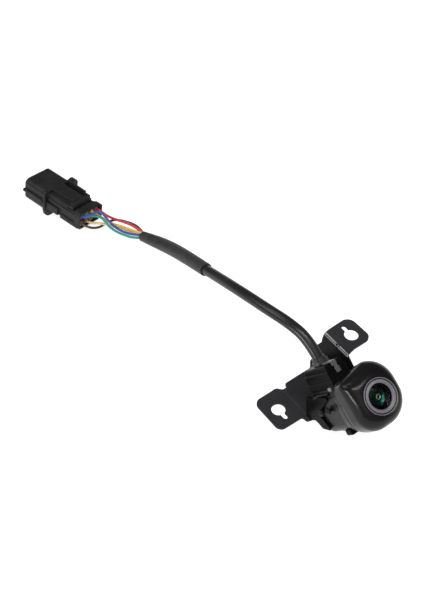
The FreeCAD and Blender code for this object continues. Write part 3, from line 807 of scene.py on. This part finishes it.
def cut_for_bending(bm):
    """Adds edges across the blank's bends and steps, and along the gusset."""
    cuts = spaced(JOGGLE[0], JOGGLE[1], 4)
    cuts += spaced(FOOT_START, FOOT_END, 6)
    cuts += spaced(EAR_START, EAR_FLAT, 8)
    cuts += [along_ear(x) for x in spaced(EAR_STEP[0], EAR_STEP[1], 5)]
    for u in cuts:
        bmesh.ops.bisect_plane(bm, geom=bm.verts[:] + bm.edges[:] + bm.faces[:],
                               plane_co=(u, 0, 0), plane_no=(1, 0, 0), dist=1e-5)
    low = EAR_START - 0.01
    high = EAR_FLAT + 0.01
    for y in spaced(GUSSET[0], GUSSET[1], 12):
        bend = [f for f in bm.faces if low < f.calc_center_median().x < high]
        ring = list({e for f in bend for e in f.edges} | {v for f in bend for v in f.verts})
        bmesh.ops.bisect_plane(bm, geom=bend + ring, plane_co=(0, y, 0), plane_no=(0, 1, 0),
                               dist=1e-5)


def thicken_and_fold(bm):
    """Gives the flat blank its two faces and bends it."""
    bmesh.ops.recalc_face_normals(bm, faces=bm.faces)
    if bm.faces[:][0].normal.z < 0:
        bmesh.ops.reverse_faces(bm, faces=bm.faces)
    raised = bmesh.ops.extrude_face_region(bm, geom=bm.faces[:])
    top = [v for v in raised["geom"] if isinstance(v, bmesh.types.BMVert)]
    for vert in bm.verts:
        vert.co.z = -1
    for vert in top:
        vert.co.z = 1
    for vert in bm.verts:
        vert.co = fold(vert.co.x, vert.co.y, vert.co.z * SHEET / 2)


def bracket_sheet():
    """The folded sheet: left ear, foot, right wall and right ear."""
    ear_x = along_ear(MOUNTS["keyhole_right"].x / MM)
    ear_y = MOUNTS["keyhole_right"].y / MM
    bm = blank_mesh(rounded(BLANK, 10), [keyhole(0, 0, -1), keyhole(ear_x, ear_y, 1)])
    cut_for_bending(bm)
    thicken_and_fold(bm)
    soften(bm, SHEET_EDGE, 2)
    for face in bm.faces:
        middle = face.calc_center_median()
        # the right wall below the bend gets the painted-shade black, the bend above it the gloss
        if WALL_MID - SHEET <= middle.x <= WALL_MID + SHEET / 2:
            face.material_index = BEND if middle.z > WALL_TOP + 0.4 else SHADED
    return bm


def left_cheek():
    """Upright cheek beside the head's left side, as a (y, z, corner radius) outline."""
    outline = [(-10.9, 0.4, 0), (-10.2, 7.0, 2.0), (-9.2, 12.5, 2.0), (-8.6, 15.6, 1.2),
               (-13.0, 17.4, 2.0), (-20.8, 28.0, 0.6), (-22.2, 27.5, 0.6),
               (-20.0, 18.8, 3.0), (-19.6, 11.6, 1.5), (-26.6, 9.9, 0.5),
               (-27.2, 8.6, 0.5), (-22.7, 4.6, 1.0), (-17.4, 5.2, 1.5),
               (-14.4, 1.6, 1.0), (-14.2, 0.4, 0)]
    bm = prism(outline, CHEEK_PLACE, CHEEK_PLACE + SHEET, SHEET_EDGE, SIDEWAYS, 2)
    # the whole cheek gets the painted-shade black
    for face in bm.faces:
        face.material_index = SHADED
    return bm


# the walls and cheek take the painted-shade black instead of the steel's own coat
BRACKET_FINISH = {COAT: STEEL_BLACK, BEND: STEEL_GLOSS, SHADED: PAINTED_SHADE_BLACK}
bracket = piece("bracket_sheet", merge([bracket_sheet(), left_cheek()]), ROW,
                BRACKET_FINISH[COAT], ["bracket"])
bracket.data.materials.append(BRACKET_FINISH[BEND])
bracket.data.materials.append(BRACKET_FINISH[SHADED])

SCREW_SEAT = 13.62              # underside of the screw heads, from the middle of the head
SCREW_DEPTHS = (-33.0, -25.5)
SCREW_HEIGHT = 2.5


def screw_head():
    """Pan head with a cross recess, its seat at z 0."""
    head = lathe([(0, 1.15), (0.9, 1.1), (1.5, 0.85), (1.85, 0.4), (1.9, 0.0), (0.85, 0.0),
                  (0.85, -3.0), (0, -3.2)], 0.06, 40)
    bars = [prism(rectangle(-1.15, 1.15, -0.19, 0.19, 0.05), 0.55, 2.0, 0.0,
                  Matrix.Rotation(a, 4, "Z")) for a in (0, math.pi / 2)]
    return boolean(boolean(head, bars[0]), bars[1])


def cheek_screws():
    screws = []
    for side in (-1, 1):
        for depth in SCREW_DEPTHS:
            seat = Matrix.Translation((side * SCREW_SEAT, SCREW_HEIGHT, depth))
            bm = screw_head()
            bm.transform(seat @ Matrix.Rotation(side * math.pi / 2, 4, "Y"))
            screws.append(bm)
    return merge(screws)


piece("bracket_screws_pan", cheek_screws(), HEAD, SCREW, ["bracket_screws"])


def spring_strap():
    """Strap over the front of the turret, with a leaf on each of its steps."""
    return merge([
        prism(rectangle(-5.9, -3.5, 17.0, 19.7, 0.3), -13.98, -13.5, 0.12),
        prism(rectangle(-5.5, -3.9, 19.2, 20.8, 0.3), -14.4, -13.7, 0.12),
        prism(rectangle(-6.2, -3.5, 20.5, 22.7, 0.3), -14.75, -14.1, 0.12),
        prism(rectangle(-6.2, -3.5, 22.42, 22.9, 0.1), -22.5, -14.3, 0.12),
    ])


piece("spring_strap", spring_strap(), HEAD, CLIP, ["spring_clip"])

# ---------------------------------------------------------------- plug
SHROUD_L = 14.8
SHROUD_W = 19.1
SHROUD_H = 13.6
SOCKET_DEPTH = 12.0
SHROUD_WALL = 1.3
BODY_HALF = 7.7
BODY_H = 10.4
BODY_END = 41.5
RIM_END = 43.0                  # the thin wall round the wires, on its right side
DECK_Z = SHROUD_H / 2           # the deck behind the shroud is flush with its top
FLANGE_BACK = 16.6
POCKET_R = 1.45
POCKET_DEPTH = 6.5
PITCH_W = 3.8                   # between the eight ways, across
ROW_H = 2.5                     # of the two rows, above and below the middle
WAYS = [(c * PITCH_W, r * ROW_H) for r in (1, -1) for c in (-1.5, -0.5, 0.5, 1.5)]


def shroud():
    """Hollow mating end with a rib on its left."""
    wide = SHROUD_W / 2
    high = SHROUD_H / 2
    inner_wide = wide - SHROUD_WALL
    inner_high = high - SHROUD_WALL
    outside = slab(-wide, wide, 0, SHROUD_L + 0.3, -high, high, 3.0, 0.3)
    socket = slab(-inner_wide, inner_wide, -1, SOCKET_DEPTH, -inner_high, inner_high, 1.8, 0.0)
    rib = slab(-wide - 1.3, -wide + 1, -0.4, SHROUD_L, -0.9, 0.9, 0.5, 0.2)
    return [boolean(outside, socket), rib]


def flange():
    """Stop flange, level with the shroud's top, with lobes to the right and underneath."""
    return [
        slab(-10.3, 9.6, SHROUD_L, FLANGE_BACK, -7.3, DECK_Z, 2.2, 0.35),
        slab(8.0, 13.6, SHROUD_L, 18.6, -1.4, DECK_Z + 0.2, 2.7, 0.5),
        slab(-9.9, -1.0, SHROUD_L, FLANGE_BACK + 0.4, -10.2, -2.0, 3.6, 0.4),
    ]


def side_rails():
    """Long and short rails down both sides of the body."""
    return [
        slab(-BODY_HALF - 0.7, BODY_HALF + 0.5, 17.0, 40.0, 1.3, 3.0, 0.5, 0.25),
        slab(-BODY_HALF - 1.5, BODY_HALF + 0.7, 16.5, 25.5, -4.2, 0.1, 0.6, 0.3),
        slab(-BODY_HALF - 0.9, BODY_HALF + 0.7, 27.0, 40.4, -5.3, -2.2, 0.8, 0.3),
    ]


def deck():
    """Raised deck, a groove to its right and the guard wall beyond the groove."""
    plate = prism([(-5.2, 4.0, 0.3), (4.0, 4.0, 0.3), (4.1, 31.9, 0.4), (-3.4, 31.9, 0.4)],
                  4.0, DECK_Z + 0.03, 0.2, Matrix.Scale(-1, 4, (0, 1, 0)))
    guard = slab(7.3, 8.5, 17.5, 30.0, 2.0, 7.2, 0.4, 0.3)
    stop = slab(7.0, 8.3, 29.0, 33.5, 2.0, 6.2, 0.4, 0.3)
    return [plate, guard, stop]


def pocket_place(x, z):
    """Turns a lathed shape to lie along the plug, on one of its eight ways."""
    return Matrix.Translation((x, 0, z)) @ Matrix.Rotation(math.radians(-90), 4, "X")


def rear_body():
    """Body with the wire pockets and an open rim round them."""
    body = slab(-BODY_HALF, BODY_HALF, FLANGE_BACK - 1, BODY_END, -BODY_H / 2, BODY_H / 2,
                1.5, 0.25)
    rim = slab(-8.4, 8.4, 38.0, BODY_END, -5.6, 5.4, 1.8, 0.3)
    wing = slab(6.6, 8.3, 38.4, RIM_END, -3.4, 5.2, 0.7, 0.3)
    whole = weld([body, rim, wing])
    whole = boolean(whole, slab(-7.2, 6.9, 40.0, 45.0, -4.5, 4.5, 1.2, 0.0))
    whole = boolean(whole, slab(3.9, 7.2, 15.9, 31.9, 3.4, 9.0, 0.2, 0.0))
    whole = boolean(whole, slab(-9.0, 9.0, 31.9, 37.3, 3.9, 9.0, 0.2, 0.0))
    for x, z in WAYS:
        hole = lathe([(0, -BODY_END - 1), (POCKET_R, -BODY_END - 1),
                      (POCKET_R, -BODY_END + POCKET_DEPTH), (0, -BODY_END + POCKET_DEPTH)],
                     0, 32, pocket_place(x, z))
        whole = boolean(whole, hole)
    return [whole]


def plug_shell():
    return merge(shroud() + flange() + side_rails() + deck() + rear_body())


def lock_comb():
    """Lock bar across the deck's slot, with its flat top plate."""
    bar = slab(-7.2, 7.2, 32.2, 35.4, 4.2, 5.8, 0.5, 0.2)
    plate = slab(-5.9, 5.3, 32.2, 35.3, 5.0, DECK_Z, 0.4, 0.22)
    return merge([bar, plate])


def blades():
    return merge([slab(x - 0.5, x + 0.5, 6.8, 34.5, z - 0.32, z + 0.32, 0.08, 0.12)
                  for x, z in WAYS])


def seals():
    """Ribbed seals round the wires."""
    profile = [(0.64, -36.5), (1.4, -36.5), (1.4, -37.3), (1.2, -37.6), (1.4, -37.9),
               (1.4, -38.8), (1.2, -39.1), (1.4, -39.4), (1.4, -40.9), (0.64, -40.9)]
    return merge([lathe(profile, 0.05, 32, pocket_place(x, z)) for x, z in WAYS])


plug = piece("plug_shell", plug_shell(), PLUG, PLASTIC, ["plug_housing"])
piece("terminal_lock_comb", lock_comb(), PLUG, PLASTIC, ["terminal_lock"],
      "lock")
terminals = piece("plug_blades", blades(), PLUG, TINNED, ["plug_terminals"])
wire_seals = piece("wire_seal_rings", seals(), PLUG, SILICONE, ["wire_seals"])

# ---------------------------------------------------------------- inner CAD nodes
INNER = {
    "lens_o_ring": RUBBER, "lens_barrel": BARREL, "inner_lenses": INNER_GLASS,
    "ir_filter": INNER_GLASS, "lens_holder": CASE, "sensor_board": BOARD, "image_sensor": CHIP,
    "board_spacers": TINNED, "processor_board": BOARD, "shield_can": TINNED,
    "board_screws": TINNED, "board_socket": CASE, "case_gasket": RUBBER,
}
for node, material in INNER.items():
    frame["nodes"][node].data.materials.clear()
    frame["nodes"][node].data.materials.append(material)

# ---------------------------------------------------------------- studio
bpy.context.scene.view_settings.view_transform = "Standard"
FLOOR_HALF = 2.0
FLOOR_GLOW = 0.85
HORIZON = 0.28                  # levels of grey in the surroundings
CEILING = 0.13
TARGET = Vector((0.022, -0.04, 0.03))   # the lens head, where the lights point

floor_bm = bmesh.new()
bmesh.ops.create_grid(floor_bm, x_segments=8, y_segments=8, size=FLOOR_HALF)
floor = loose_object(floor_bm, "floor")
floor.location.z = -0.0002
floor_material = surface("floor pale", grey(0.46), grey(0.48), 0.9, grain=60, height=1e-6,
                         drift=2.0)
floor_shader = floor_material.node_tree.nodes["Principled BSDF"]
floor_shader.inputs["Emission Color"].default_value = (1, 1, 1, 1)
floor_shader.inputs["Emission Strength"].default_value = FLOOR_GLOW
floor.data.materials.append(floor_material)


def sky():
    """Pale near the horizon and dim overhead, as in a white room with a dark ceiling."""
    world = bpy.data.worlds.new("world")
    bpy.context.scene.world = world
    world.use_nodes = True
    tree = world.node_tree
    place = tree.nodes.new("ShaderNodeTexCoord").outputs["Generated"]
    split = tree.nodes.new("ShaderNodeSeparateXYZ")
    ramp = tree.nodes.new("ShaderNodeValToRGB")
    set_ramp(ramp, [(0.04, grey(HORIZON)), (0.32, grey(CEILING))])
    tree.links.new(place, split.inputs["Vector"])
    tree.links.new(split.outputs["Z"], ramp.inputs["Fac"])
    tree.links.new(ramp.outputs["Color"], tree.nodes["Background"].inputs["Color"])
    tree.nodes["Background"].inputs["Strength"].default_value = 1.0


def softbox(name, place, width, height, power):
    """An area light that faces TARGET; place is from there, sizes are in metres."""
    data = bpy.data.lights.new(name, "AREA")
    data.shape = "RECTANGLE"
    data.size = width
    data.size_y = height
    data.energy = power
    light = bpy.data.objects.new(name, data)
    light.location = TARGET + Vector(place)
    light.rotation_euler = (-Vector(place)).to_track_quat("-Z", "Y").to_euler()
    bpy.context.scene.collection.objects.link(light)


sky()
softbox("overhead strip", (-0.06, -0.28, 1.13), 0.95, 0.12, 6.5)
softbox("rear left", (-0.75, 0.60, 0.75), 0.6, 0.6, 3.8)
softbox("rear overhead", (-0.10, 0.65, 1.05), 0.4, 0.4, 1.5)
softbox("behind the camera", (-0.75, -0.95, 1.35), 1.4, 1.4, 5.0)
softbox("left low", (-1.20, -0.08, 0.14), 0.20, 0.20, 4.2)
softbox("lens glow", (0.64, -0.70, 0.33), 0.34, 0.34, 1.7)
